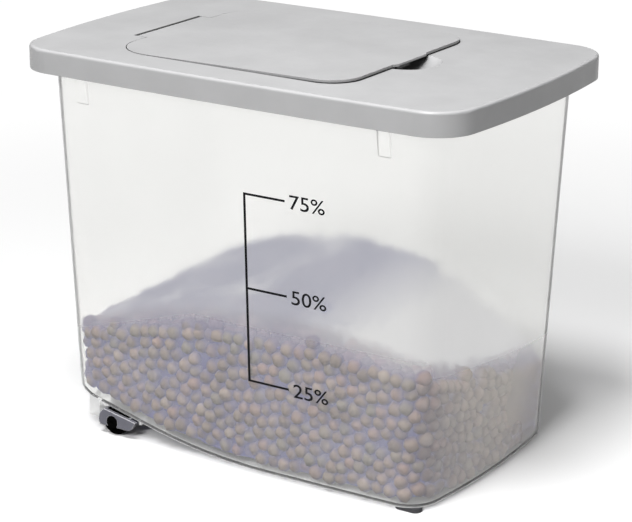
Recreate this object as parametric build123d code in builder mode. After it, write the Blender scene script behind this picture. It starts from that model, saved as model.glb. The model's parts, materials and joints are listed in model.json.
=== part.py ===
from build123d import *
import os
from math import radians, tan

# Pet food bin, in millimetres, +Z up. The origin is on the floor under the middle of the lid.
# +X points to the end with the finger scoop and the feet, -X to the end with the hinge and the
# wheels, and -Y to the long side that carries the level scale.

# Heights above the floor
BASE_Z = 3.0  # flat part of the tub's underside
SKIRT_Z = 329.5  # lower edge of the lid's skirt
FLANGE_Z = 336.0  # underside of the tub's rim flange
RIM_Z = 343.0  # top edge of the tub
LID_Z = 350.0  # top of the lid

# Tub in plan, at the height of its flat underside, and how far each wall leans out per mm of height
TUB_LEFT = 190.4
TUB_RIGHT = 182.9
TUB_HALF_WIDTH = 112.6
TUB_LEFT_RADIUS = 39.4
TUB_RIGHT_RADIUS = 29.6
LEFT_DRAFT = 0.0251
RIGHT_DRAFT = 0.0417
SIDE_DRAFT = 0.0368
RIGHT_RADIUS_DRAFT = 0.0095
END_BOW = 5.0  # how far the middle of an end wall swells out past the start of its corners
SIDE_BOW = 2.4
WALL = 2.3
FLOOR = 3.0
TUB_EDGE_RADIUS = 5.0  # round edge between the walls and the underside

# Underside: flat, then a long bend, then a straight ramp up to the wheel end
BEND_X = 25.0
BEND_RADIUS = 540.0
RAMP_ANGLE = 12.8

# Rim flange, with its turned-down lip, and the ribs under it
FLANGE = 2.4
FLANGE_CLEARANCE = 1.4  # between the flange and the inside of the lid's skirt
LIP = 2.0
LIP_DROP = 4.5
RIB_X = 150.0
RIB_WIDTH = 11.5
RIB_Z = 305.5
RIB_TOP_REACH = 5.0
RIB_BOTTOM_REACH = 1.6

# Lid
LID_HALF_LENGTH = 218.0
LID_HALF_WIDTH = 136.1
LID_RADIUS = 37.0
LID_EDGE_RADIUS = 2.6
LID_TOP = 2.5
SKIRT = 2.2
SEAL_GAP = 1.0  # between the tub's wall and the lid's rings on either side of it
SEAL_SIDE_GAP = 0.2
SEAL_END_GAP = 0.05
RING = 2.0
PLUG_Z = 335.0
OUTER_RING_Z = 339.0

# Tray in the lid for the flip lid, and the pour opening in it
PANEL_LEFT = -139.5
PANEL_RIGHT = 97.0
PANEL_WIDTH = 206.0
PANEL_LEFT_RADIUS = 40.0
PANEL_RIGHT_RADIUS = 28.0
PANEL = 2.2
PANEL_EDGE_RADIUS = 0.7
PANEL_TILT = 0.69  # the flip lid is flush at its hinge and stands 3 mm proud at its free end
TRAY_GAP = 0.8
TRAY_DEPTH = 2.7
OPENING_X = -22.0
OPENING_LENGTH = 196.0
OPENING_WIDTH = 164.0
OPENING_RADIUS = 22.0
COLLAR = 2.0
COLLAR_Z = 335.5

# Hinge
HINGE_X = -149.6
BARREL_RADIUS = 3.0
BARREL_DROP = 0.15  # the barrel's top lies this far under the lid's top
PIN_RADIUS = 1.25
PIN_CLEARANCE = 0.05
TAB_WIDTH = 95.0
TAB_REACH = 30.0  # from the hinge into the panel
TROUGH_LEFT = -154.0
TROUGH_RIGHT = -144.9
TROUGH_GAP = 0.7
TROUGH_Z = 342.8
EAR = 3.5

# Free end: finger tongue, catch, and the scoop in the lid below them
TONGUE_REACH = 3.0
TONGUE_ROOT = 54.0
TONGUE_TIP = 44.0
CATCH_X = 90.0
CATCH = 2.0
CATCH_WIDTH = 20.0
CATCH_DROP = 6.0
SCOOP_X = 95.0
SCOOP_LEFT = 86.0
SCOOP_RADIUS = 29.0
SCOOP_DEPTH = 9.5
SCOOP_EDGE_RADIUS = 0.5

# Flip lid's plug and seal
PLUG_GAP = 1.7
PLUG_WALL = 1.8
PLUG_DROP = 7.0
HATCH_SEAL = 1.3
HATCH_SEAL_HEIGHT = 3.0
HATCH_SEAL_DROP = 2.5

# Wheels, made for the front side and mirrored to the back
WHEEL_X = -137.6
WHEEL_RADIUS = 12.9
WHEEL_Y = -109.0  # outer face
WHEEL_WIDTH = 12.0
WHEEL_CHAMFER = 0.8
AXLE_RADIUS = 5.8
AXLE_CLEARANCE = 0.05
AXLE_PROUD = 1.0
AXLE_DIMPLE = 1.8
WHEEL_RECESS_GAP = 0.6  # between a wheel and the shallow recess over it
CHEEK = 3.0
CHEEK_GAP = 0.5
CHEEK_LEFT = -151.0
CHEEK_BASE_Z = 8.4
CHEEK_FLAT_END = -121.5
CHEEK_BELLY = (-117.2, 9.6)
CHEEK_CHIN = (-114.5, 12.6)
CHEEK_TIP = (-111.7, 17.4)
CHEEK_TOP_LEFT = (-146.6, 24.0)
CHEEK_BULGE = (-152.3, 15.5)
LEFT_WEB = 1.3
LEFT_WEB_X = -151.6
RIGHT_WEB = 2.0
WEB_Z = 10.0
LEFT_WEB_HEIGHT = 10.5
RIGHT_WEB_HEIGHT = 8.5
BOSS_TONGUE = 9.0
NECK = 9.8
BOSS_LEFT = -163.5
BOSS_RIGHT = -152.5
BOSS_Z = 14.5
BOSS_WIDTH = 16.0
TONGUE_SLOT_WIDTH = 6.0
TONGUE_SLOT_Z = 16.5
TONGUE_SLOT_HEIGHT = 4.0
TONGUE_SLOT_DEPTH = 8.3
SLOT_CLEARANCE = 0.1
STOP_X = -111.5
STOP = 2.5

# Feet
FOOT_X = 163.5
FOOT_Y = 101.0
FOOT_LENGTH = 24.0
FOOT_WIDTH = 12.0
FOOT_RECESS = 0.8

# Food
FOOD_GAP = 1.0
FOOD_FRONT_LEFT_Z = 80.0  # its top's height along the front and the back wall
FOOD_FRONT_CREST = (60.0, 126.0)
FOOD_FRONT_RIGHT_Z = 116.0
FOOD_BACK_LEFT_Z = 80.0
FOOD_BACK_CREST = (-20.0, 150.0)
FOOD_BACK_RIGHT_Z = 52.0

REACH = 260.0  # larger than the bin's half length

HINGE_Z = LID_Z - BARREL_DROP - BARREL_RADIUS
TRAY_Z = LID_Z - TRAY_DEPTH
LID_UNDER_Z = LID_Z - LID_TOP
PANEL_PLANE = Plane((0, 0, LID_Z - HINGE_X * tan(radians(PANEL_TILT)))).rotated((0, -PANEL_TILT, 0))
WHEEL_MIDDLE_Y = WHEEL_Y + WHEEL_WIDTH / 2


def pull_in(bow, half_side, radius):
    """How far a swelling side has fallen back where it would meet its neighbour in a sharp corner."""
    return bow * (half_side / (half_side - radius)) ** 2 - bow


def bowed_plan(left, right, half_width, left_radius, right_radius):
    """Rectangle with round corners, whose four sides swell out in shallow arcs."""
    middle = (right - left) / 2
    corner_left = pull_in(END_BOW, half_width, left_radius) - left
    corner_right = right - pull_in(END_BOW, half_width, right_radius)
    mean_radius = (left_radius + right_radius) / 2
    corner_y = half_width - pull_in(SIDE_BOW, (left + right) / 2, mean_radius)
    with BuildSketch() as plan:
        with BuildLine():
            ThreePointArc(
                (corner_left, -corner_y), (middle, -half_width - SIDE_BOW), (corner_right, -corner_y)
            )
            ThreePointArc((corner_right, -corner_y), (right + END_BOW, 0), (corner_right, corner_y))
            ThreePointArc((corner_right, corner_y), (middle, half_width + SIDE_BOW), (corner_left, corner_y))
            ThreePointArc((corner_left, corner_y), (-left - END_BOW, 0), (corner_left, -corner_y))
        make_face()
        fillet(plan.vertices().group_by(Axis.X)[0], left_radius)
        fillet(plan.vertices().group_by(Axis.X)[-1], right_radius)
    return plan.sketch


def tub_plan(z, inset=0.0):
    """The tub's outline at a height."""
    rise = z - BASE_Z
    return bowed_plan(
        TUB_LEFT + LEFT_DRAFT * rise - inset,
        TUB_RIGHT + RIGHT_DRAFT * rise - inset,
        TUB_HALF_WIDTH + SIDE_DRAFT * rise - inset,
        TUB_LEFT_RADIUS - inset,
        TUB_RIGHT_RADIUS + RIGHT_RADIUS_DRAFT * rise - inset,
    )


def lid_plan(inset=0.0):
    """The lid's outline."""
    return bowed_plan(
        LID_HALF_LENGTH - inset,
        LID_HALF_LENGTH - inset,
        LID_HALF_WIDTH - inset,
        LID_RADIUS - inset,
        LID_RADIUS - inset,
    )


def panel_plan(margin=0.0):
    """The flip lid's outline without its hinge tab and finger tongue."""
    with BuildSketch() as plan:
        with Locations(((PANEL_LEFT + PANEL_RIGHT) / 2, 0)):
            Rectangle(PANEL_RIGHT - PANEL_LEFT + 2 * margin, PANEL_WIDTH + 2 * margin)
        fillet(plan.vertices().group_by(Axis.X)[0], PANEL_LEFT_RADIUS + margin)
        fillet(plan.vertices().group_by(Axis.X)[-1], PANEL_RIGHT_RADIUS + margin)
    return plan.sketch


def opening_plan(margin=0.0):
    """The pour opening's outline."""
    with BuildSketch() as plan:
        with Locations((OPENING_X, 0)):
            RectangleRounded(
                OPENING_LENGTH + 2 * margin, OPENING_WIDTH + 2 * margin, OPENING_RADIUS + margin
            )
    return plan.sketch


def ring_plan(outer, inner):
    """The band between two outlines."""
    with BuildSketch() as plan:
        add(outer)
        add(inner, mode=Mode.SUBTRACT)
    return plan.sketch


def ground(lift):
    """Everything below the tub's underside, raised by lift."""
    flat_z = BASE_Z + lift
    with BuildPart() as block:
        with BuildSketch(Plane.XZ):
            with BuildLine():
                bend = JernArc((BEND_X, flat_z), (-1, 0), BEND_RADIUS, -RAMP_ANGLE)
                ramp = PolarLine(bend @ 1, REACH, direction=bend % 1)
                Polyline(ramp @ 1, ((ramp @ 1).X, -REACH), (REACH, -REACH), (REACH, flat_z), bend @ 0)
            make_face()
        extrude(amount=REACH, both=True)
    return block.part


def tub_block(inset, lift, top_z, edge_radius):
    """Solid block with the tub's walls and ramped underside, moved in by inset and up by lift."""
    with BuildPart() as block:
        for z in (0, top_z):
            with BuildSketch(Plane.XY.offset(z)):
                add(tub_plan(z, inset))
        loft(ruled=True)
        add(ground(lift), mode=Mode.SUBTRACT)
        underside = block.faces().filter_by(lambda face: face.normal_at().Z < -0.9)
        fillet(underside.edges().filter_by(Axis.Y, reverse=True), edge_radius)
    return block.part


def scoop(radius_gain):
    """Ball that hollows the finger scoop, cut off towards the pour opening."""
    ball_radius = (SCOOP_RADIUS**2 + SCOOP_DEPTH**2) / (2 * SCOOP_DEPTH)
    with BuildPart() as ball:
        with Locations((SCOOP_X, 0, LID_Z - SCOOP_DEPTH + ball_radius)):
            Sphere(ball_radius + radius_gain)
        split(bisect_by=Plane.YZ.offset(SCOOP_LEFT - radius_gain), keep=Keep.TOP)
    return ball.part


with BuildPart() as bin_body:
    add(tub_block(0, 0, RIM_Z, TUB_EDGE_RADIUS))
    # Rim flange and its turned-down lip
    with BuildSketch(Plane.XY.offset(FLANGE_Z)):
        add(lid_plan(SKIRT + FLANGE_CLEARANCE))
    extrude(amount=FLANGE)
    with BuildSketch(Plane.XY.offset(FLANGE_Z - LIP_DROP)):
        add(ring_plan(lid_plan(SKIRT + FLANGE_CLEARANCE), lid_plan(SKIRT + FLANGE_CLEARANCE + LIP)))
    extrude(amount=LIP_DROP)
    # Ribs under the flange, a pair on each long wall
    for x in (-RIB_X, RIB_X):
        with BuildSketch(Plane.YZ.offset(x)):
            with BuildLine():
                Polyline(
                    (0, RIB_Z),
                    (TUB_HALF_WIDTH + SIDE_DRAFT * RIB_Z + RIB_BOTTOM_REACH, RIB_Z),
                    (TUB_HALF_WIDTH + SIDE_DRAFT * FLANGE_Z + RIB_TOP_REACH, FLANGE_Z),
                    (0, FLANGE_Z),
                    close=True,
                )
            make_face()
            mirror(about=Plane.YZ)
        extrude(amount=RIB_WIDTH / 2, both=True)
    # Boss and stop that hold each wheel bracket
    for side in (-1, 1):
        with Locations((BOSS_LEFT, -side * WHEEL_MIDDLE_Y, BOSS_Z)):
            Box(
                BOSS_RIGHT - BOSS_LEFT,
                BOSS_WIDTH,
                TUB_LEFT_RADIUS,
                align=(Align.MIN, Align.CENTER, Align.MIN),
            )
        with Locations((STOP_X, -side * WHEEL_MIDDLE_Y, BOSS_Z)):
            Box(STOP, BOSS_WIDTH / 2, TUB_LEFT_RADIUS, align=(Align.MIN, Align.CENTER, Align.MIN))
    add(tub_block(WALL, FLOOR, RIM_Z + FLANGE, TUB_EDGE_RADIUS - WALL), mode=Mode.SUBTRACT)
    # Slots for the brackets' tongues, shallow recesses over the wheels and seats for the feet
    for side in (-1, 1):
        with Locations((BOSS_RIGHT, -side * WHEEL_MIDDLE_Y, TONGUE_SLOT_Z - SLOT_CLEARANCE)):
            Box(
                TONGUE_SLOT_DEPTH,
                TONGUE_SLOT_WIDTH + 2 * SLOT_CLEARANCE,
                TONGUE_SLOT_HEIGHT + 2 * SLOT_CLEARANCE,
                align=(Align.MAX, Align.CENTER, Align.MIN),
                mode=Mode.SUBTRACT,
            )
        with Locations(Plane((WHEEL_X, -side * WHEEL_MIDDLE_Y, WHEEL_RADIUS), z_dir=(0, -1, 0))):
            Cylinder(WHEEL_RADIUS + WHEEL_RECESS_GAP, WHEEL_WIDTH + 2 * CHEEK_GAP, mode=Mode.SUBTRACT)
    with BuildSketch(Plane.XY.offset(BASE_Z)):
        with GridLocations(0, 2 * FOOT_Y, 1, 2):
            with Locations((FOOT_X, 0)):
                SlotOverall(FOOT_LENGTH, FOOT_WIDTH)
    extrude(amount=FOOT_RECESS, mode=Mode.SUBTRACT)

with BuildPart() as lid:
    # Top and skirt
    with BuildSketch(Plane.XY.offset(SKIRT_Z)):
        add(lid_plan())
    extrude(amount=LID_Z - SKIRT_Z)
    fillet(lid.faces().sort_by(Axis.Z)[-1].edges(), LID_EDGE_RADIUS)
    with BuildSketch(Plane.XY.offset(SKIRT_Z)):
        add(lid_plan(SKIRT))
    extrude(amount=LID_UNDER_Z - SKIRT_Z, mode=Mode.SUBTRACT)
    # Two rings that take the seal and the tub's rim between them
    with BuildSketch(Plane.XY.offset(PLUG_Z)):
        add(ring_plan(tub_plan(RIM_Z, WALL + SEAL_GAP), tub_plan(RIM_Z, WALL + SEAL_GAP + RING)))
    extrude(amount=LID_Z - PLUG_Z - LID_TOP / 2)
    with BuildSketch(Plane.XY.offset(OUTER_RING_Z)):
        add(ring_plan(tub_plan(RIM_Z, -SEAL_GAP - RING), tub_plan(RIM_Z, -SEAL_GAP)))
    extrude(amount=LID_Z - OUTER_RING_Z - LID_TOP / 2)
    # Tray under the flip lid, hinge trough, scoop and pour collar, as solid lumps
    with BuildSketch(Plane.XY.offset(TRAY_Z - PANEL)):
        add(panel_plan(TRAY_GAP + SKIRT))
    extrude(amount=PANEL + LID_TOP / 2)
    with BuildSketch(Plane.XY.offset(TROUGH_Z - RING)):
        with Locations((TROUGH_LEFT - RING, 0)):
            Rectangle(
                PANEL_LEFT - TROUGH_LEFT + 2 * RING,
                TAB_WIDTH + 2 * (TROUGH_GAP + EAR),
                align=(Align.MIN, Align.CENTER),
            )
    extrude(amount=LID_Z - TROUGH_Z + RING - LID_TOP / 2)
    with BuildSketch(Plane.XY.offset(COLLAR_Z)):
        add(opening_plan(COLLAR))
    extrude(amount=LID_UNDER_Z - COLLAR_Z)
    add(split(scoop(RING), bisect_by=Plane.XY.offset(LID_UNDER_Z), keep=Keep.BOTTOM, mode=Mode.PRIVATE))
    # Hollows
    with BuildSketch(Plane.XY.offset(TRAY_Z)):
        add(panel_plan(TRAY_GAP))
        with Locations((TROUGH_LEFT, 0)):
            Rectangle(TAB_REACH, TAB_WIDTH + 2 * TROUGH_GAP, align=(Align.MIN, Align.CENTER))
    extrude(amount=LID_TOP + TRAY_DEPTH, mode=Mode.SUBTRACT)
    with BuildSketch(Plane.XY.offset(COLLAR_Z)):
        add(opening_plan())
    extrude(amount=LID_TOP + LID_Z - COLLAR_Z, mode=Mode.SUBTRACT)
    with BuildSketch(Plane.XY.offset(TROUGH_Z)):
        with Locations(((TROUGH_LEFT + TROUGH_RIGHT) / 2, 0)):
            Rectangle(TROUGH_RIGHT - TROUGH_LEFT, TAB_WIDTH + 2 * TROUGH_GAP)
    extrude(amount=LID_Z - TROUGH_Z, mode=Mode.SUBTRACT)
    add(scoop(0), mode=Mode.SUBTRACT)
    # Eased edge round the scoop
    top_loops = lid.faces().sort_by(Axis.Z)[-1].inner_wires()
    scoop_edge = top_loops.edges().filter_by(GeomType.CIRCLE).sort_by(Axis.X)[-1]
    fillet(scoop_edge, SCOOP_EDGE_RADIUS)
    # The pin's holes in the trough's two ears
    with BuildSketch(Plane.XZ):
        with Locations((HINGE_X, HINGE_Z)):
            Circle(PIN_RADIUS)
    extrude(amount=TAB_WIDTH, both=True, mode=Mode.SUBTRACT)

with BuildPart() as lid_seal:
    with BuildSketch(Plane.XY.offset(RIM_Z + SEAL_END_GAP)):
        add(
            ring_plan(
                tub_plan(RIM_Z, SEAL_SIDE_GAP - SEAL_GAP), tub_plan(RIM_Z, WALL + SEAL_GAP - SEAL_SIDE_GAP)
            )
        )
    extrude(amount=LID_UNDER_Z - RIM_Z - 2 * SEAL_END_GAP)

with BuildPart() as hinge_pin:
    with BuildSketch(Plane.XZ):
        with Locations((HINGE_X, HINGE_Z)):
            Circle(PIN_RADIUS)
    extrude(amount=TAB_WIDTH / 2 + TROUGH_GAP + EAR, both=True)

with BuildPart() as flip_lid:
    # Panel with its hinge tab and finger tongue
    with BuildSketch(PANEL_PLANE):
        add(panel_plan())
        with Locations((HINGE_X, 0)):
            Rectangle(TAB_REACH, TAB_WIDTH, align=(Align.MIN, Align.CENTER))
        with BuildLine():
            Polyline(
                (PANEL_RIGHT, -TONGUE_ROOT / 2),
                (PANEL_RIGHT + TONGUE_REACH, -TONGUE_TIP / 2),
                (PANEL_RIGHT + TONGUE_REACH, TONGUE_TIP / 2),
                (PANEL_RIGHT, TONGUE_ROOT / 2),
                close=True,
            )
        make_face()
    extrude(amount=-PANEL)
    top_edges = flip_lid.faces().sort_by(Axis.Z)[-1].edges()
    fillet(top_edges.sort_by(Axis.X)[1:], PANEL_EDGE_RADIUS)
    # Plug that fills the pour opening
    with BuildSketch(PANEL_PLANE.offset(-PANEL)):
        add(ring_plan(opening_plan(-PLUG_GAP), opening_plan(-PLUG_GAP - PLUG_WALL)))
    extrude(amount=-PLUG_DROP)
    # Catch that bears on the tray's edge inside the scoop
    with BuildSketch(PANEL_PLANE.offset(-PANEL)):
        with Locations((CATCH_X, 0)):
            Rectangle(CATCH, CATCH_WIDTH)
    extrude(amount=-CATCH_DROP)
    # Hinge barrel and the pin's bore
    with BuildSketch(Plane.XZ):
        with Locations((HINGE_X, HINGE_Z)):
            Circle(BARREL_RADIUS)
    extrude(amount=TAB_WIDTH / 2, both=True)
    with BuildSketch(Plane.XZ):
        with Locations((HINGE_X, HINGE_Z)):
            Circle(PIN_RADIUS + PIN_CLEARANCE)
    extrude(amount=TAB_WIDTH, both=True, mode=Mode.SUBTRACT)

with BuildPart() as hatch_seal:
    with BuildSketch(PANEL_PLANE.offset(-PANEL - HATCH_SEAL_DROP)):
        add(ring_plan(opening_plan(HATCH_SEAL - PLUG_GAP), opening_plan(-PLUG_GAP)))
    extrude(amount=-HATCH_SEAL_HEIGHT)


def cheek_plan():
    """A bracket cheek seen from the side: D-shaped, with a socket that opens downwards."""
    with BuildSketch() as plan:
        with BuildLine():
            Polyline(CHEEK_TOP_LEFT, CHEEK_TIP, CHEEK_CHIN)
            ThreePointArc(CHEEK_CHIN, CHEEK_BELLY, (CHEEK_FLAT_END, CHEEK_BASE_Z))
            Line((CHEEK_FLAT_END, CHEEK_BASE_Z), (CHEEK_LEFT, CHEEK_BASE_Z))
            ThreePointArc((CHEEK_LEFT, CHEEK_BASE_Z), CHEEK_BULGE, CHEEK_TOP_LEFT)
        make_face()
        with Locations((WHEEL_X, WHEEL_RADIUS)):
            Circle(AXLE_RADIUS + AXLE_CLEARANCE, mode=Mode.SUBTRACT)
            Rectangle(NECK, 2 * WHEEL_RADIUS, align=(Align.CENTER, Align.MAX), mode=Mode.SUBTRACT)
    return plan.sketch


with BuildPart() as bracket:
    for face_y in (WHEEL_Y - CHEEK_GAP - CHEEK, WHEEL_Y + WHEEL_WIDTH + CHEEK_GAP):
        with BuildSketch(Plane.XZ.offset(-face_y)):
            add(cheek_plan())
        extrude(amount=-CHEEK)
    # End webs that join the cheeks, clear of the wheel
    for web_x, web, web_height in (
        (LEFT_WEB_X, LEFT_WEB, LEFT_WEB_HEIGHT),
        (CHEEK_FLAT_END, RIGHT_WEB, RIGHT_WEB_HEIGHT),
    ):
        with Locations((web_x, WHEEL_MIDDLE_Y, WEB_Z)):
            Box(web, WHEEL_WIDTH + 2 * CHEEK_GAP, web_height, align=(Align.CENTER, Align.CENTER, Align.MIN))
    # Tongue that plugs into the tub's boss
    with Locations((CHEEK_LEFT, WHEEL_MIDDLE_Y, TONGUE_SLOT_Z)):
        Box(
            BOSS_TONGUE,
            TONGUE_SLOT_WIDTH,
            TONGUE_SLOT_HEIGHT,
            align=(Align.MAX, Align.CENTER, Align.MIN),
        )

with BuildPart() as wheel:
    with BuildSketch(Plane.XZ.offset(-WHEEL_Y)):
        with Locations((WHEEL_X, WHEEL_RADIUS)):
            Circle(WHEEL_RADIUS)
            Circle(AXLE_RADIUS, mode=Mode.SUBTRACT)
    extrude(amount=-WHEEL_WIDTH)
    rims = wheel.edges().filter_by(GeomType.CIRCLE).sort_by(SortBy.RADIUS)[-2:]
    chamfer(rims, WHEEL_CHAMFER)

with BuildPart() as axle:
    axle_length = WHEEL_WIDTH + 2 * (CHEEK_GAP + CHEEK + AXLE_PROUD)
    with Locations(Plane((WHEEL_X, WHEEL_MIDDLE_Y, WHEEL_RADIUS), z_dir=(0, -1, 0))):
        Cylinder(AXLE_RADIUS, axle_length)
        for end in (-1, 1):
            with Locations((0, 0, end * axle_length / 2)):
                Cylinder(AXLE_DIMPLE, 2 * AXLE_PROUD, mode=Mode.SUBTRACT)
    ends = axle.edges().filter_by(GeomType.CIRCLE).sort_by(SortBy.RADIUS)[-2:]
    chamfer(ends, AXLE_PROUD / 2)

with BuildPart() as foot:
    with BuildSketch(Plane.XY):
        with Locations((FOOT_X, -FOOT_Y)):
            SlotOverall(FOOT_LENGTH, FOOT_WIDTH)
    extrude(amount=BASE_Z + FOOT_RECESS)

with BuildPart() as kibble_fill:
    add(tub_block(WALL + FOOD_GAP, FLOOR + FOOD_GAP, RIM_Z, TUB_EDGE_RADIUS - WALL))
    # Its top runs from an arc along the front wall to a higher one along the back wall
    with BuildPart(mode=Mode.INTERSECT):
        for y, left_z, crest, right_z in (
            (-LID_HALF_WIDTH, FOOD_FRONT_LEFT_Z, FOOD_FRONT_CREST, FOOD_FRONT_RIGHT_Z),
            (LID_HALF_WIDTH, FOOD_BACK_LEFT_Z, FOOD_BACK_CREST, FOOD_BACK_RIGHT_Z),
        ):
            with BuildSketch(Plane.XZ.offset(-y)):
                with BuildLine():
                    ThreePointArc((-LID_HALF_LENGTH, left_z), crest, (LID_HALF_LENGTH, right_z))
                    Polyline(
                        (LID_HALF_LENGTH, right_z),
                        (LID_HALF_LENGTH, 0),
                        (-LID_HALF_LENGTH, 0),
                        (-LID_HALF_LENGTH, left_z),
                    )
                make_face()
        loft(ruled=True)

pieces = {
    "bin_body": bin_body.part,
    "lid": lid.part,
    "lid_seal": lid_seal.part,
    "hinge_pin": hinge_pin.part,
    "flip_lid": flip_lid.part,
    "hatch_seal": hatch_seal.part,
    "kibble_fill": kibble_fill.part,
}
# The wheel sets and the feet come in mirrored pairs.
for name, part in (
    ("wheel_bracket", bracket.part),
    ("wheel", wheel.part),
    ("wheel_axle", axle.part),
    ("foot", foot.part),
):
    pieces[f"{name}_front"] = part
    pieces[f"{name}_back"] = mirror(part, about=Plane.XZ)

os.makedirs("parts", exist_ok=True)
for name, piece in pieces.items():
    piece.label = name
    export_step(piece, f"parts/{name}.step")
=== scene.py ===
import json
import math
import random

import bmesh
import bpy
import numpy as np
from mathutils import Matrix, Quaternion, Vector
from mathutils.bvhtree import BVHTree
from mathutils.kdtree import KDTree


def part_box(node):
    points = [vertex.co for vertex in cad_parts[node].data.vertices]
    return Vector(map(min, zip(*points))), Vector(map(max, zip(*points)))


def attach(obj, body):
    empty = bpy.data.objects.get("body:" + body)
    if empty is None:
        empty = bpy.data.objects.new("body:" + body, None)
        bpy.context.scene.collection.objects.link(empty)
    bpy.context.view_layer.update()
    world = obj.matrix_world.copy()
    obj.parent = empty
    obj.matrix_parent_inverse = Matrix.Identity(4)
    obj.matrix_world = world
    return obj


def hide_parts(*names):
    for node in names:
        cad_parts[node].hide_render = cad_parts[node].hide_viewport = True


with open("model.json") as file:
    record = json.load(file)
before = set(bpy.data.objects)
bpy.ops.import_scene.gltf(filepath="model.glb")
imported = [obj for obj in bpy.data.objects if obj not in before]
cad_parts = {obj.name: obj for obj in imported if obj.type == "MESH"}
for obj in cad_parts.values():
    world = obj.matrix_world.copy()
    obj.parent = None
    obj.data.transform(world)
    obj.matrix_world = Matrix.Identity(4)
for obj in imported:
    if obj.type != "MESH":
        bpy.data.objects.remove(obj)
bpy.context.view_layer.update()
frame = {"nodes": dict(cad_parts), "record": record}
nodes = frame["nodes"]

# Camera, in metres and degrees: a three-quarter view from the front right
CAMERA_AZIMUTH = 33.13
CAMERA_ELEVATION = 18.26
CAMERA_ROLL = 0.22
CAMERA_DISTANCE = 1.9675
CAMERA_TARGET = (0.0313, -0.0404, 0.1751)
LENS = 131.2

# Kibble. Each layer has its depth past the outermost pellets, its unevenness, and the area per pellet.
PELLET_RADIUS = 0.0066
PELLET_SPREAD = 0.10
PELLET_LENGTH = 0.88
UNIT_HALF_LENGTH = 0.56
LUMPS = 0.07
LUMP_SEED = 11
LAYERS = ((0.0, 0.0022, 0.000143), (0.0096, 0.0033, 0.000141))
SCATTER_BAND = 0.004
PELLET_SEED = 7
CONTACT = 0.90
RELAX_STEPS = 40
RELAXED_DEPTH = 0.94
LOOSE_SHARE = 0.45

# The shaded core behind the pellets, and how much closer to the tub's floor it comes
CORE_DEPTH = 0.0095
CORE_FLOOR = 0.0010
CORE_VOXEL = 0.006

# Where the heap has slumped, and by what share of its height
SLUMP = 0.20
SLUMP_X = (0.06, 0.17)
SLUMP_Y = (-0.09, 0.10)

# Painted veil over the food, an unlit glow for the light the wall scatters: by distance behind the wall,
# as painted shade in the gaps between the outer pellets, and as painted light at the right end wall
VEIL_START = 0.003
VEIL_END = 0.075
VEIL_MOST = 0.75
VEIL_RIGHT = 0.92
PAINTED_HAZE_COLOUR = (0.38, 0.39, 0.49, 1.0)
PAINTED_HAZE_PALE = (0.69, 0.69, 0.70, 1.0)
GAP_START = 0.003
GAP_END = 0.009
GAP_MOST = 0.62
PAINTED_GAP_SHADE = (0.15, 0.15, 0.30, 1.0)
END_VEIL = 0.50
PAINTED_END_LIGHT = (0.45, 0.415, 0.385, 1.0)

# Level scale, printed on the front wall
SCALE_X = 0.0156
SCALE_LINE = 0.0024
TICK_LINE = 0.0020
TICK_LENGTH = 0.0397
TICK_DROPS = (("75%", 0.0761), ("50%", 0.1587), ("25%", 0.2418))
NUMERAL_GAP = 0.0045
NUMERAL_HEIGHT = 0.0124
NUMERAL_WIDEN = 1.2
NUMERAL_BOLD = 0.005
INK_THICKNESS = 0.00012

# Height of the fill line along the front wall: it climbs from the left, then runs level
FILL_Z = 0.123
FILL_LEFT_Z = 0.136
FILL_SLOPE = 0.31
# and on the right end wall, where it falls towards the back
END_FILL_Z = 0.098
END_SLOPE = 0.10

# Line of the tub's underside along the front wall: a ramp down from the left, then level
RAMP_SLOPE = -0.2272
RAMP_Z = -0.0051
UNDERSIDE_Z = 0.003

# Frosted walls: how clear, how milky, and the painted glow that stands in for light scattered more than once
# inside them
WALL_IOR = 1.12
CLEAR_COLOUR = (0.99, 0.99, 0.985, 1.0)
SHADOW_COLOUR = (0.88, 0.88, 0.885, 1.0)
CLEAR_ROUGHNESS = 0.07
END_ROUGHNESS = 0.12
FROSTED_ROUGHNESS = 0.28
FILL_FADE = (-0.004, 0.014)
END_FILL_FADE = (-0.010, 0.012)
END_FACING = (0.25, 0.9)
WALL_HAZE = (0.13, 0.18)
BAND_HAZE = 0.4
BAND_FADE = (0.0012, 0.0036)
WALL_PAINTED_GLOW = 0.43
END_PAINTED_GLOW = 0.18
BAND_PAINTED_GLOW = 0.25


# Studio: a pale floor that fades into a white backdrop, a soft world, and three lights, each with its
# place, target, size and power
FLOOR_HALF = 6.0
FLOOR_SEEN = 0.96
FLOOR_BOUNCE = 0.13
FLOOR_FADE = (0.41, 1.30)
BACKDROP = 1.02
WORLD_STRENGTH = (0.13, 0.36)
LIGHTS = (
    ("key_light", (0.357, -2.257, 1.885), (0, 0, 0.1), 0.8, 46.0),
    ("high_light", (0.12, -1.0, 2.55), (0, 0, 0.2), 0.8, 50.0),
    ("side_light", (2.6, -0.6, 0.9), (0, 0, 0.2), 1.4, 8.0),
)


# ---------------------------------------------------------------- materials


def material(name):
    """New node material: its node tree, links and output node."""
    made = bpy.data.materials.new(name)
    made.use_nodes = True
    tree = made.node_tree
    tree.nodes.clear()
    output = tree.nodes.new("ShaderNodeOutputMaterial")
    return made, tree, output


def node(tree, kind, inputs=None, **settings):
    """New node with its settings and its unlinked input values."""
    made = tree.nodes.new("ShaderNode" + kind)
    for key, value in settings.items():
        setattr(made, key, value)
    for key, value in (inputs or {}).items():
        if isinstance(value, bpy.types.NodeSocket):
            tree.links.new(value, made.inputs[key])
        else:
            made.inputs[key].default_value = value
    return made


def grey(level, alpha=1.0):
    return (level, level, level, alpha)


def object_coordinates(tree):
    return node(tree, "TexCoord").outputs["Object"]


def noise(tree, scale, detail=2.0, roughness=0.5):
    """Noise value in object space; scale is in cycles per metre."""
    made = node(
        tree,
        "TexNoise",
        {"Vector": object_coordinates(tree), "Scale": scale, "Detail": detail, "Roughness": roughness},
    )
    return made.outputs["Fac"]


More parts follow.
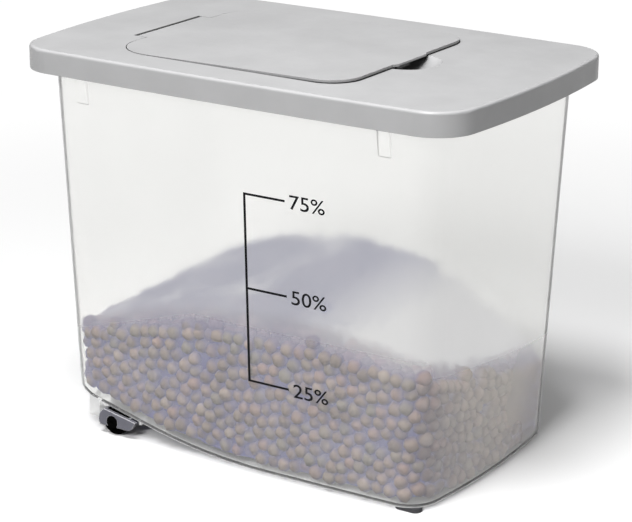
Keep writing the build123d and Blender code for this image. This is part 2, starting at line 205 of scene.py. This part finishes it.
def remap(tree, value, low, high, from_low=0.0, from_high=1.0):
    made = node(
        tree,
        "MapRange",
        {"Value": value, "From Min": from_low, "From Max": from_high, "To Min": low, "To Max": high},
    )
    return made.outputs["Result"]


def maths(tree, operation, *values, clamp=False):
    """Result of a Math node; each value is a number or another node's output."""
    made = node(tree, "Math", dict(enumerate(values)), operation=operation, use_clamp=clamp)
    return made.outputs[0]


def split(tree, vector):
    """The X, Y and Z of a vector."""
    return node(tree, "SeparateXYZ", {0: vector}).outputs


def mix_colour(tree, fac, first, second):
    return node(tree, "Mix", {0: fac, 6: first, 7: second}, data_type="RGBA").outputs[2]


def moulded_plastic(
    name,
    colour,
    roughness,
    grain=0.06,
    highlight_share=0.5,
    highlight_colour=None,
    edge_radius=0.0006,
    painted_side_shade=0.0,
    crevice_shade=0.85,
):
    """Injection-moulded plastic: fine spark-eroded grain and faint flow marks, with a painted highlight
    along its edges and painted shade in its hollows. Upright walls are painted a shade darker."""
    made, tree, output = material(name)
    edge_normal = node(tree, "Bevel", {"Radius": edge_radius}, samples=4).outputs["Normal"]
    grain_bump = node(
        tree,
        "Bump",
        {
            "Strength": grain,
            "Distance": 0.0003,
            "Height": noise(tree, 1600.0, 3.0, 0.6),
            "Normal": edge_normal,
        },
    )
    wave_bump = node(
        tree,
        "Bump",
        {
            "Strength": 0.05,
            "Distance": 0.004,
            "Height": noise(tree, 9.0, 1.0),
            "Normal": grain_bump.outputs["Normal"],
        },
    )
    flow = noise(tree, 14.0, 4.0, 0.6)
    lighter = tuple(min(1.0, c * 1.06) for c in colour) + (1.0,)
    darker = tuple(c * 0.95 for c in colour) + (1.0,)
    base = mix_colour(tree, remap(tree, flow, 0.0, 1.0, 0.3, 0.7), darker, lighter)
    flat_normal = node(tree, "NewGeometry").outputs["Normal"]
    upward = split(tree, flat_normal)["Z"]
    # Painted shade: upright faces are darkened, as they catch less light than the top
    base = mix_colour(tree, remap(tree, upward, painted_side_shade, 0.0, 0.3, 0.8), base, grey(0.02))
    # Painted highlight: edges found by the bevel are lightened towards a pale colour, standing in for the light
    # their rounding catches
    agree = node(tree, "VectorMath", {0: edge_normal, 1: flat_normal}, operation="DOT_PRODUCT")
    edge = remap(tree, agree.outputs["Value"], highlight_share, 0.0, 0.90, 0.995)
    painted_highlight_tint = highlight_colour or tuple(min(1.0, c * 1.6 + 0.05) for c in colour) + (1.0,)
    base = mix_colour(tree, edge, base, painted_highlight_tint)
    # Painted shade: hollows, seams and the scoop are darkened where ambient occlusion finds them enclosed
    open_to_light = node(tree, "AmbientOcclusion", {"Distance": 0.020}, samples=8).outputs["AO"]
    base = mix_colour(tree, remap(tree, open_to_light, crevice_shade, 0.0, 0.25, 0.80), base, grey(0.02))
    rough = remap(tree, noise(tree, 60.0, 5.0, 0.7), roughness - 0.05, roughness + 0.06, 0.3, 0.7)
    shader = node(
        tree,
        "BsdfPrincipled",
        {"Base Color": base, "Roughness": rough, "Normal": wave_bump.outputs["Normal"], "IOR": 1.49},
    )
    tree.links.new(shader.outputs["BSDF"], output.inputs["Surface"])
    return made


def frosted_plastic(name):
    """Thin frosted polypropylene. Light scatters once where it enters a wall, so that what touches the
    wall stays sharp and what lies behind it blurs with distance. Shadows and bounces pass through."""
    made, tree, output = material(name)
    geometry = node(tree, "NewGeometry").outputs
    normal = split(tree, geometry["Normal"])
    place = split(tree, object_coordinates(tree))
    outside = maths(tree, "SUBTRACT", 1.0, geometry["Backfacing"])
    underneath = underside_band(tree, normal, place)

    rough = wall_roughness(tree, normal, place)
    clear = node(
        tree,
        "BsdfRefraction",
        {"Color": CLEAR_COLOUR, "Roughness": maths(tree, "MULTIPLY", rough, outside), "IOR": WALL_IOR},
    )

    white = node(tree, "BsdfDiffuse", {"Color": (0.91, 0.91, 0.90, 1.0), "Roughness": 0.6})
    glow = node(tree, "BsdfTranslucent", {"Color": (0.93, 0.93, 0.92, 1.0)})
    sides = node(tree, "MixShader", {0: 0.5, 1: white.outputs[0], 2: glow.outputs[0]})
    # Painted glow: an unlit emission on the wall stands in for light scattered more than once inside it,
    # stronger in the band along the underside
    glow_share_here = remap(tree, normal["X"], WALL_PAINTED_GLOW, END_PAINTED_GLOW, *END_FACING)
    strength = maths(tree, "MULTIPLY_ADD", underneath, BAND_PAINTED_GLOW, glow_share_here)
    painted_glow_shader = node(tree, "Emission", {"Color": (1.0, 1.0, 0.98, 1.0), "Strength": strength})
    milk_and_painted_glow = node(tree, "AddShader", {0: sides.outputs[0], 1: painted_glow_shader.outputs[0]})

    facing = node(tree, "LayerWeight", {"Blend": 0.25}).outputs["Facing"]
    blotch = noise(tree, 12.0, 3.0, 0.6)
    evenly = remap(tree, blotch, *WALL_HAZE, 0.3, 0.7)
    haze = maths(tree, "ADD", evenly, remap(tree, facing, 0.0, 0.55, 0.45, 1.0))
    haze = maths(tree, "ADD", haze, remap(tree, underneath, 0.0, BAND_HAZE), clamp=True)
    haze = maths(tree, "MULTIPLY", haze, outside)
    body = node(tree, "MixShader", {0: haze, 1: clear.outputs[0], 2: milk_and_painted_glow.outputs[0]})

    grain = node(
        tree,
        "Bump",
        {"Strength": 0.12, "Distance": 0.0003, "Height": noise(tree, 900.0, 3.0, 0.6)},
    )
    gloss = node(
        tree,
        "BsdfGlossy",
        {"Color": grey(1.0), "Roughness": 0.28, "Normal": grain.outputs["Normal"]},
    )
    fresnel = node(tree, "Fresnel", {"IOR": 1.35}).outputs[0]
    coat = maths(tree, "MULTIPLY", fresnel, outside)
    coated = node(tree, "MixShader", {0: coat, 1: body.outputs[0], 2: gloss.outputs[0]})

    path = node(tree, "LightPath").outputs
    soft_ray = maths(tree, "MAXIMUM", path["Is Shadow Ray"], path["Is Diffuse Ray"])
    through = node(tree, "BsdfTransparent", {"Color": SHADOW_COLOUR})
    final = node(tree, "MixShader", {0: soft_ray, 1: coated.outputs[0], 2: through.outputs[0]})
    tree.links.new(final.outputs[0], output.inputs["Surface"])
    return made


def wall_roughness(tree, normal, place):
    """The walls are nearly clear below the fill line, and frosted above it."""
    rising = maths(tree, "MULTIPLY_ADD", place["X"], FILL_SLOPE, FILL_LEFT_Z)
    line = maths(tree, "MINIMUM", rising, FILL_Z)
    above = maths(tree, "SUBTRACT", place["Z"], line)
    over_front = remap(tree, above, 0.0, 1.0, *FILL_FADE)
    falling = maths(tree, "MULTIPLY_ADD", place["Y"], END_SLOPE, place["Z"])
    over_end = remap(tree, falling, 0.0, 1.0, *(END_FILL_Z + fade for fade in END_FILL_FADE))
    on_end = remap(tree, normal["X"], 0.0, 1.0, *END_FACING)
    over = node(tree, "Mix", {0: on_end, 2: over_front, 3: over_end}, data_type="FLOAT").outputs[0]
    return maths(
        tree,
        "MAXIMUM",
        remap(tree, normal["X"], CLEAR_ROUGHNESS, END_ROUGHNESS, *END_FACING),
        remap(tree, over, CLEAR_ROUGHNESS, FROSTED_ROUGHNESS),
    )


def underside_band(tree, normal, place):
    """1 on the tub's underside and in a thin band over it, where the wall is thick and white: milkier there,
    and with a painted glow that also covers the contact shadow on the down-facing fillet.
    """
    ramp = maths(tree, "MULTIPLY_ADD", place["X"], RAMP_SLOPE, RAMP_Z)
    bottom = maths(tree, "MAXIMUM", ramp, UNDERSIDE_Z)
    above_bottom = maths(tree, "SUBTRACT", place["Z"], bottom)
    return maths(
        tree,
        "MAXIMUM",
        remap(tree, normal["Z"], 1.0, 0.0, -0.75, -0.30),
        remap(tree, above_bottom, 1.0, 0.0, *BAND_FADE),
    )


def under_painted_veil(tree, shader):
    """Painted veil: an unlit glow, seen only through a frosted wall, stands in for the wall's own scatter;
    the farther a surface lies behind the wall, the more of it shows. Just behind the outer pellets it is
    painted purplish shade, and at the right end wall, seen at a slant, painted tan light over even what
    touches it."""
    path = node(tree, "LightPath").outputs
    place = split(tree, object_coordinates(tree))
    # Painted light: at the right end wall the veil glows in the pellets' tan, lightening the food there
    at_end = remap(tree, place["X"], 0.0, 1.0, 0.170, 0.185)
    slant = maths(tree, "MULTIPLY_ADD", at_end, -0.5, 1.0)
    length = maths(tree, "MULTIPLY", path["Ray Length"], slant)
    reach = remap(tree, length, 0.0, 1.0, VEIL_START, VEIL_END)
    to_right = remap(tree, place["X"], 0.0, 1.0, 0.02, 0.09)
    uneven = remap(tree, noise(tree, 13.0, 2.0), 0.0, 1.0, 0.50, 0.80)
    pale = maths(tree, "MAXIMUM", to_right, uneven)
    far = maths(tree, "MULTIPLY", reach, remap(tree, pale, VEIL_MOST, VEIL_RIGHT))
    # Painted shade: just behind the outer pellets the veil is a dark purple, filling the gaps between them
    gap = remap(tree, length, 0.0, GAP_MOST, GAP_START, GAP_END)
    near = maths(tree, "MAXIMUM", gap, maths(tree, "MULTIPLY", at_end, END_VEIL))
    either = maths(tree, "MAXIMUM", far, near)
    amount = maths(tree, "MULTIPLY", either, path["Is Transmission Ray"])
    far_tint = mix_colour(tree, pale, PAINTED_HAZE_COLOUR, PAINTED_HAZE_PALE)
    near_tint = mix_colour(tree, at_end, PAINTED_GAP_SHADE, PAINTED_END_LIGHT)
    # Painted light: this unlit glow, seen only through the walls, lays the wall's scatter over the food, with
    # paler patches and a paler right end as soft painted highlights
    glow = node(tree, "Emission", {"Color": mix_colour(tree, reach, near_tint, far_tint)})
    return node(tree, "MixShader", {0: amount, 1: shader, 2: glow.outputs[0]}).outputs[0]


def kibble_material(name):
    """Baked pellets: each its own shade of tan, red or green-brown, with a rough crumb."""
    made, tree, output = material(name)
    island = node(tree, "NewGeometry").outputs["Random Per Island"]
    ramp = node(tree, "ValToRGB", {"Fac": island})
    stops = (
        (0.0, (0.19, 0.15, 0.13)),
        (0.3, (0.29, 0.22, 0.18)),
        (0.55, (0.235, 0.215, 0.18)),
        (0.78, (0.33, 0.22, 0.185)),
        (1.0, (0.35, 0.29, 0.24)),
    )
    ramp.color_ramp.elements[0].position = 0.0
    ramp.color_ramp.elements[-1].position = 1.0
    for position, _ in stops[1:-1]:
        ramp.color_ramp.elements.new(position)
    for element, (position, colour) in zip(ramp.color_ramp.elements, stops):
        element.position = position
        element.color = (*colour, 1.0)
    crumb = noise(tree, 700.0, 5.0, 0.7)
    crust = remap(tree, crumb, 0.0, 0.40, 0.45, 0.75)
    base = mix_colour(tree, crust, ramp.outputs["Color"], (0.17, 0.12, 0.10, 1.0))
    bump = node(tree, "Bump", {"Strength": 0.35, "Distance": 0.0008, "Height": crumb})
    shader = node(
        tree,
        "BsdfPrincipled",
        {"Base Color": base, "Roughness": 0.85, "Normal": bump.outputs["Normal"]},
    )
    tree.links.new(under_painted_veil(tree, shader.outputs["BSDF"]), output.inputs["Surface"])
    return made


def kibble_shade(name):
    """The unlit, purplish depth between the pellets."""
    made, tree, output = material(name)
    speckle = noise(tree, 300.0, 4.0, 0.65)
    base = mix_colour(tree, speckle, (0.070, 0.065, 0.21, 1.0), (0.105, 0.090, 0.27, 1.0))
    shader = node(tree, "BsdfPrincipled", {"Base Color": base, "Roughness": 0.9})
    tree.links.new(under_painted_veil(tree, shader.outputs["BSDF"]), output.inputs["Surface"])
    return made


def plain_rough(name, colour, roughness, scale, strength, specular=0.5):
    """Even material with a fine bump and a little colour variation."""
    made, tree, output = material(name)
    speckle = noise(tree, scale, 4.0, 0.65)
    bump = node(tree, "Bump", {"Strength": strength, "Distance": 0.0004, "Height": speckle})
    lighter = tuple(min(1.0, c * 1.2 + 0.004) for c in colour) + (1.0,)
    base = mix_colour(tree, remap(tree, speckle, 0.0, 1.0, 0.35, 0.65), (*colour, 1.0), lighter)
    shader = node(
        tree,
        "BsdfPrincipled",
        {
            "Base Color": base,
            "Roughness": remap(tree, speckle, roughness - 0.06, roughness + 0.06, 0.3, 0.7),
            "Normal": bump.outputs["Normal"],
            "Specular IOR Level": specular,
        },
    )
    tree.links.new(shader.outputs["BSDF"], output.inputs["Surface"])
    return made


def brushed_steel(name):
    made, tree, output = material(name)
    streak = node(
        tree,
        "TexNoise",
        {
            "Vector": node(
                tree, "Mapping", {"Vector": object_coordinates(tree), "Scale": (900.0, 30.0, 900.0)}
            ).outputs[0],
            "Scale": 1.0,
            "Detail": 3.0,
        },
    ).outputs["Fac"]
    shader = node(
        tree,
        "BsdfPrincipled",
        {
            "Base Color": (0.62, 0.62, 0.63, 1.0),
            "Metallic": 1.0,
            "Roughness": remap(tree, streak, 0.22, 0.4),
        },
    )
    tree.links.new(shader.outputs["BSDF"], output.inputs["Surface"])
    return made


def assign(obj, made):
    obj.data.materials.clear()
    obj.data.materials.append(made)


LID_COLOUR = (0.50, 0.50, 0.505)
materials = {
    "frosted_plastic": frosted_plastic("frosted_plastic_mat"),
    "lid_plastic": moulded_plastic("lid_plastic_mat", LID_COLOUR, 0.36, edge_radius=0.0005, painted_side_shade=0.19),
    "silicone": plain_rough("silicone_mat", (0.62, 0.62, 0.60), 0.55, 500.0, 0.08),
    "pin_steel": brushed_steel("pin_steel_mat"),
    "bracket_plastic": moulded_plastic(
        "bracket_plastic_mat",
        (0.145, 0.145, 0.175),
        0.45,
        highlight_share=1.0,
        highlight_colour=(0.95, 0.95, 0.96, 1.0),
        edge_radius=0.0013,
        crevice_shade=0.0,
    ),
    "roller_plastic": plain_rough("roller_plastic_mat", (0.0005, 0.0005, 0.0005), 0.7, 1200.0, 0.15, 0.0),
    "foot_rubber": plain_rough("foot_rubber_mat", (0.05, 0.05, 0.055), 0.8, 900.0, 0.3),
    "kibble": kibble_material("kibble_mat"),
    "scale_ink": plain_rough("scale_ink_mat", (0.002, 0.002, 0.003), 0.6, 1500.0, 0.1, 0.1),
}
for subpart in frame["record"]["subparts"]:
    assign(nodes[subpart["node"]], materials[subpart["material_slot"]])
for cad_node in nodes.values():
    cad_node.data.shade_smooth()


# ---------------------------------------------------------------- helpers


def add_object(name, mesh, slot_name, body):
    made = bpy.data.objects.new(name, mesh)
    bpy.context.scene.collection.objects.link(made)
    made.data.materials.append(materials[slot_name])
    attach(made, body)
    return made


def surface_of(name):
    """Search tree over a CAD node's surface."""
    mesh = nodes[name].data
    vertices = [v.co.copy() for v in mesh.vertices]
    return BVHTree.FromPolygons(vertices, [tuple(p.vertices) for p in mesh.polygons])


# ---------------------------------------------------------------- kibble


def settled(point):
    """The heap has slumped at the back right corner: points there sink towards the floor."""
    along = min(1.0, max(0.0, (point.x - SLUMP_X[0]) / (SLUMP_X[1] - SLUMP_X[0])))
    across = min(1.0, max(0.0, (point.y - SLUMP_Y[0]) / (SLUMP_Y[1] - SLUMP_Y[0])))
    return Vector((point.x, point.y, point.z * (1.0 - SLUMP * along * across)))


def depth_and_push(tree, point):
    """How deep a point lies under a closed surface, and the inward direction."""
    nearest, normal, _, distance = tree.find_nearest(point)
    offset = point - nearest
    depth = -distance if offset.dot(normal) > 0 else distance
    return depth, -normal


def scatter(tree, low, high, depth_now, rng, share):
    """Random points just under a closed surface, one per share of its area."""
    size = high - low
    tries = int(size.x * size.y * size.z / (share * SCATTER_BAND))
    points = []
    for _ in range(tries):
        point = Vector([rng.uniform(low[i], high[i]) for i in range(3)])
        depth, inward = depth_and_push(tree, point)
        if 0 < depth < SCATTER_BAND:
            points.append(point + inward * (depth_now - depth))
    return points


def pellet_centres(tree, low, high):
    """Pellets in layers against the walls, the floor and the top of the food, pushed apart until they
    lie close together."""
    rng = random.Random(PELLET_SEED)
    centres, radii, depths = [], [], []
    for start, spread, share in LAYERS:
        for point in scatter(tree, low, high, PELLET_RADIUS + start, rng, share):
            radius = PELLET_RADIUS * (1 + rng.uniform(-PELLET_SPREAD, PELLET_SPREAD))
            centres.append(point)
            radii.append(radius)
            depths.append(RELAXED_DEPTH * radius + start + rng.uniform(0, spread))
    reach = 2 * PELLET_RADIUS * (1 + PELLET_SPREAD)
    for _ in range(RELAX_STEPS):
        kd = KDTree(len(centres))
        for i, point in enumerate(centres):
            kd.insert(point, i)
        kd.balance()
        moves = [Vector((0, 0, 0)) for _ in centres]
        for i, point in enumerate(centres):
            for other, j, distance in kd.find_range(point, reach):
                if j <= i or distance < 1e-9:
                    continue
                overlap = CONTACT * (radii[i] + radii[j]) - distance
                if overlap > 0:
                    shift = (point - other) * (0.5 * overlap / distance)
                    moves[i] += shift
                    moves[j] -= shift
        for i in range(len(centres)):
            point = centres[i] + moves[i]
            depth, inward = depth_and_push(tree, point)
            centres[i] = point + inward * (depths[i] - depth)
    add_loose(tree, centres, radii, rng)
    return [settled(centre) for centre in centres], radii, rng


def add_loose(tree, centres, radii, rng):
    """Single pellets lie loose on top of the others, close to the walls."""
    for centre, radius in list(zip(centres, radii)):
        on_top = tree.find_nearest(centre)[1].z > 0.5
        by_wall = tree.find_nearest(centre - Vector((0, 0, 3 * radius)))[3] < 1.7 * radius
        if on_top and by_wall and centre.y < 0 and rng.random() < LOOSE_SHARE:
            shift = Vector((rng.uniform(-0.4, 0.4), rng.uniform(0.0, 0.4), rng.uniform(0.8, 1.6)))
            centres.append(centre + shift * radius)
            radii.append(radius)


def unit_pellet():
    """Short rounded cylinder of radius 1, as vertices and faces."""
    segments = 10
    profile = ((0.62, 0.5), (0.97, 0.27), (0.97, -0.27), (0.62, -0.5))
    vertices, faces = [(0, 0, UNIT_HALF_LENGTH)], []
    for ring_radius, ring_height in profile:
        for k in range(segments):
            angle = 2 * math.pi * k / segments
            vertices.append((ring_radius * math.cos(angle), ring_radius * math.sin(angle), ring_height))
    vertices.append((0, 0, -UNIT_HALF_LENGTH))
    for k in range(segments):
        after = (k + 1) % segments
        faces.append((0, 1 + k, 1 + after))
        for ring in range(len(profile) - 1):
            start = 1 + ring * segments
            faces.append((start + k, start + segments + k, start + segments + after, start + after))
        start = 1 + (len(profile) - 1) * segments
        faces.append((len(vertices) - 1, start + after, start + k))
    return np.array(vertices), faces


def make_kibble():
    tree = surface_of("kibble_fill")
    low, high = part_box("kibble_fill")
    centres, radii, rng = pellet_centres(tree, low, high)
    print("pellets", len(centres))
    unit, unit_faces = unit_pellet()
    unit = unit * np.array([1.0, 1.0, PELLET_LENGTH / UNIT_HALF_LENGTH])
    state = np.random.RandomState(LUMP_SEED)
    all_vertices, all_faces = [], []
    for index, (centre, radius) in enumerate(zip(centres, radii)):
        spin = Quaternion([rng.gauss(0, 1) for _ in range(4)])
        spin.normalize()
        rotation = np.array(spin.to_matrix())
        lumps = 1 + state.uniform(-LUMPS, LUMPS, (len(unit), 1))
        shape = (unit * lumps * radius) @ rotation.T + np.array(centre)
        all_vertices.append(shape)
        base = index * len(unit)
        all_faces.extend(tuple(base + v for v in face) for face in unit_faces)
    mesh = bpy.data.meshes.new("kibble_pellets")
    mesh.from_pydata(np.concatenate(all_vertices).tolist(), [], all_faces)
    mesh.shade_smooth()
    pellets = add_object("kibble_pellets", mesh, "kibble", "bin")
    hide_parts("kibble_fill")
    return pellets


def make_kibble_core():
    """The inside of the heap, behind the outer pellets: it only shows as shade between them."""
    source = nodes["kibble_fill"].data
    edit = bmesh.new()
    edit.from_mesh(source)
    bmesh.ops.remove_doubles(edit, verts=edit.verts, dist=1e-5)
    edit.normal_update()
    mesh = bpy.data.meshes.new("kibble_core")
    edit.to_mesh(mesh)
    edit.free()
    made = bpy.data.objects.new("kibble_core", mesh)
    bpy.context.scene.collection.objects.link(made)
    remesh = made.modifiers.new("remesh", "REMESH")
    remesh.mode = "VOXEL"
    remesh.voxel_size = CORE_VOXEL
    depsgraph = bpy.context.evaluated_depsgraph_get()
    fine = bpy.data.meshes.new_from_object(made.evaluated_get(depsgraph))
    bpy.data.objects.remove(made)
    tree = surface_of("kibble_fill")
    edit = bmesh.new()
    edit.from_mesh(fine)
    for vertex in edit.verts:
        depth, inward = depth_and_push(tree, vertex.co)
        wanted = CORE_DEPTH if inward.z < 0.5 else CORE_FLOOR
        vertex.co += inward * (wanted - depth)
    for _ in range(3):
        bmesh.ops.smooth_vert(
            edit, verts=edit.verts, factor=0.5, use_axis_x=True, use_axis_y=True, use_axis_z=True
        )
    for vertex in edit.verts:
        vertex.co = settled(vertex.co)
    edit.to_mesh(fine)
    edit.free()
    fine.name = "kibble_core"
    fine.shade_smooth()
    fine.materials.clear()
    core = bpy.data.objects.new("kibble_core", fine)
    bpy.context.scene.collection.objects.link(core)
    core.data.materials.append(kibble_shade("kibble_core_mat"))
    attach(core, "bin")
    return core


make_kibble()
make_kibble_core()


# ---------------------------------------------------------------- level scale


def strip(x0, z0, x1, z1, count):
    """Flat band in the XZ plane, cut into count cells along its longer side."""
    vertices, faces = [], []
    along_x = (x1 - x0) > (z1 - z0)
    for i in range(count + 1):
        t = i / count
        if along_x:
            x = x0 + (x1 - x0) * t
            vertices += [(x, 0, z0), (x, 0, z1)]
        else:
            z = z0 + (z1 - z0) * t
            vertices += [(x1, 0, z), (x0, 0, z)]
    for i in range(count):
        a = 2 * i
        faces.append((a, a + 2, a + 3, a + 1))
    return vertices, faces


def numeral(text):
    """Text as flat faces in the XZ plane, its lower left corner at the origin."""
    curve = bpy.data.curves.new(text, "FONT")
    curve.body = text
    curve.resolution_u = 4
    curve.offset = NUMERAL_BOLD
    made = bpy.data.objects.new("numeral", curve)
    bpy.context.scene.collection.objects.link(made)
    depsgraph = bpy.context.evaluated_depsgraph_get()
    mesh = bpy.data.meshes.new_from_object(made.evaluated_get(depsgraph))
    bpy.data.objects.remove(made)
    points = [v.co.copy() for v in mesh.vertices]
    faces = [tuple(p.vertices) for p in mesh.polygons]
    low_x, low_y = min(p.x for p in points), min(p.y for p in points)
    height = max(p.y for p in points) - low_y
    k = NUMERAL_HEIGHT / height
    return [((p.x - low_x) * k * NUMERAL_WIDEN, 0, (p.y - low_y) * k) for p in points], faces


def make_scale():
    wall = surface_of("bin_body")
    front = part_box("bin_body")[0].y - 0.05
    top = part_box("lid")[0].z
    edit = bmesh.new()

    def stamp(vertices, faces, x, z):
        made = []
        for vx, _, vz in vertices:
            hit = wall.ray_cast(Vector((x + vx, front, z + vz)), Vector((0, 1, 0)))[0]
            made.append(edit.verts.new((x + vx, hit.y - INK_THICKNESS, z + vz)))
        for face in faces:
            edit.faces.new([made[i] for i in face])

    last = TICK_DROPS[-1][1]
    first = TICK_DROPS[0][1]
    half, thin = SCALE_LINE / 2, TICK_LINE / 2
    stamp(*strip(-half, -last - thin, half, -first + thin, 40), SCALE_X, top)
    for text, drop in TICK_DROPS:
        stamp(*strip(half, -thin, TICK_LENGTH, thin, 12), SCALE_X, top - drop)
        vertices, faces = numeral(text)
        stamp(
            vertices,
            faces,
            SCALE_X + TICK_LENGTH + NUMERAL_GAP,
            top - drop - NUMERAL_HEIGHT / 2,
        )
    bmesh.ops.recalc_face_normals(edit, faces=edit.faces)
    mesh = bpy.data.meshes.new("level_scale")
    edit.to_mesh(mesh)
    edit.free()
    return add_object("level_scale", mesh, "scale_ink", "bin")


make_scale()


# ---------------------------------------------------------------- studio


def make_floor():
    mesh = bpy.data.meshes.new("floor")
    edit = bmesh.new()
    turns = ((-1, -1), (1, -1), (1, 1), (-1, 1))
    corners = [edit.verts.new((x * FLOOR_HALF, y * FLOOR_HALF, 0)) for x, y in turns]
    edit.faces.new(corners)
    edit.to_mesh(mesh)
    edit.free()
    floor = bpy.data.objects.new("floor", mesh)
    bpy.context.scene.collection.objects.link(floor)
    made, tree, output = material("floor_mat")
    bounce = node(tree, "LightPath").outputs["Is Diffuse Ray"]
    paper = node(tree, "BsdfDiffuse", {"Color": mix_colour(tree, bounce, grey(FLOOR_SEEN), grey(FLOOR_BOUNCE))})
    away = node(tree, "VectorMath", {0: object_coordinates(tree)}, operation="LENGTH").outputs["Value"]
    fade = node(
        tree,
        "MapRange",
        {"Value": away, "From Min": FLOOR_FADE[0], "From Max": FLOOR_FADE[1]},
        interpolation_type="SMOOTHSTEP",
    ).outputs["Result"]
    lit = maths(tree, "MULTIPLY", fade, maths(tree, "SUBTRACT", 1.0, bounce))
    backdrop = node(tree, "Emission", {"Color": grey(1.0), "Strength": BACKDROP})
    mixed = node(tree, "MixShader", {0: lit, 1: paper.outputs[0], 2: backdrop.outputs[0]})
    tree.links.new(mixed.outputs[0], output.inputs["Surface"])
    floor.data.materials.append(made)


def area_light(name, place, target, size, power):
    light = bpy.data.lights.new(name, "AREA")
    light.shape = "DISK"
    light.size = size
    light.energy = power
    made = bpy.data.objects.new(name, light)
    bpy.context.scene.collection.objects.link(made)
    made.location = place
    made.rotation_mode = "QUATERNION"
    made.rotation_quaternion = (Vector(target) - Vector(place)).to_track_quat("-Z", "Y")


def make_studio():
    make_floor()
    world = bpy.data.worlds.new("world")
    bpy.context.scene.world = world
    world.use_nodes = True
    background = world.node_tree.nodes.get("Background")
    background.inputs["Color"].default_value = (1.0, 1.0, 1.0, 1.0)
    tree = world.node_tree
    upward = split(tree, node(tree, "TexCoord").outputs["Generated"])["Z"]
    tree.links.new(remap(tree, upward, *WORLD_STRENGTH), background.inputs["Strength"])
    for light in LIGHTS:
        area_light(*light)
    scene = bpy.context.scene
    scene.view_settings.view_transform = "Standard"


def make_camera():
    azimuth, elevation = math.radians(CAMERA_AZIMUTH), math.radians(CAMERA_ELEVATION)
    back = Vector(
        (
            math.sin(azimuth) * math.cos(elevation),
            -math.cos(azimuth) * math.cos(elevation),
            math.sin(elevation),
        )
    )
    data = bpy.data.cameras.new("camera")
    data.lens = LENS
    data.sensor_width = 36.0
    camera = bpy.data.objects.new("camera", data)
    bpy.context.scene.collection.objects.link(camera)
    camera.location = Vector(CAMERA_TARGET) + back * CAMERA_DISTANCE
    look = (-back).to_track_quat("-Z", "Y")
    camera.rotation_mode = "QUATERNION"
    camera.rotation_quaternion = look @ Quaternion((0, 0, 1), math.radians(CAMERA_ROLL))
    bpy.context.scene.camera = camera


make_studio()
make_camera()
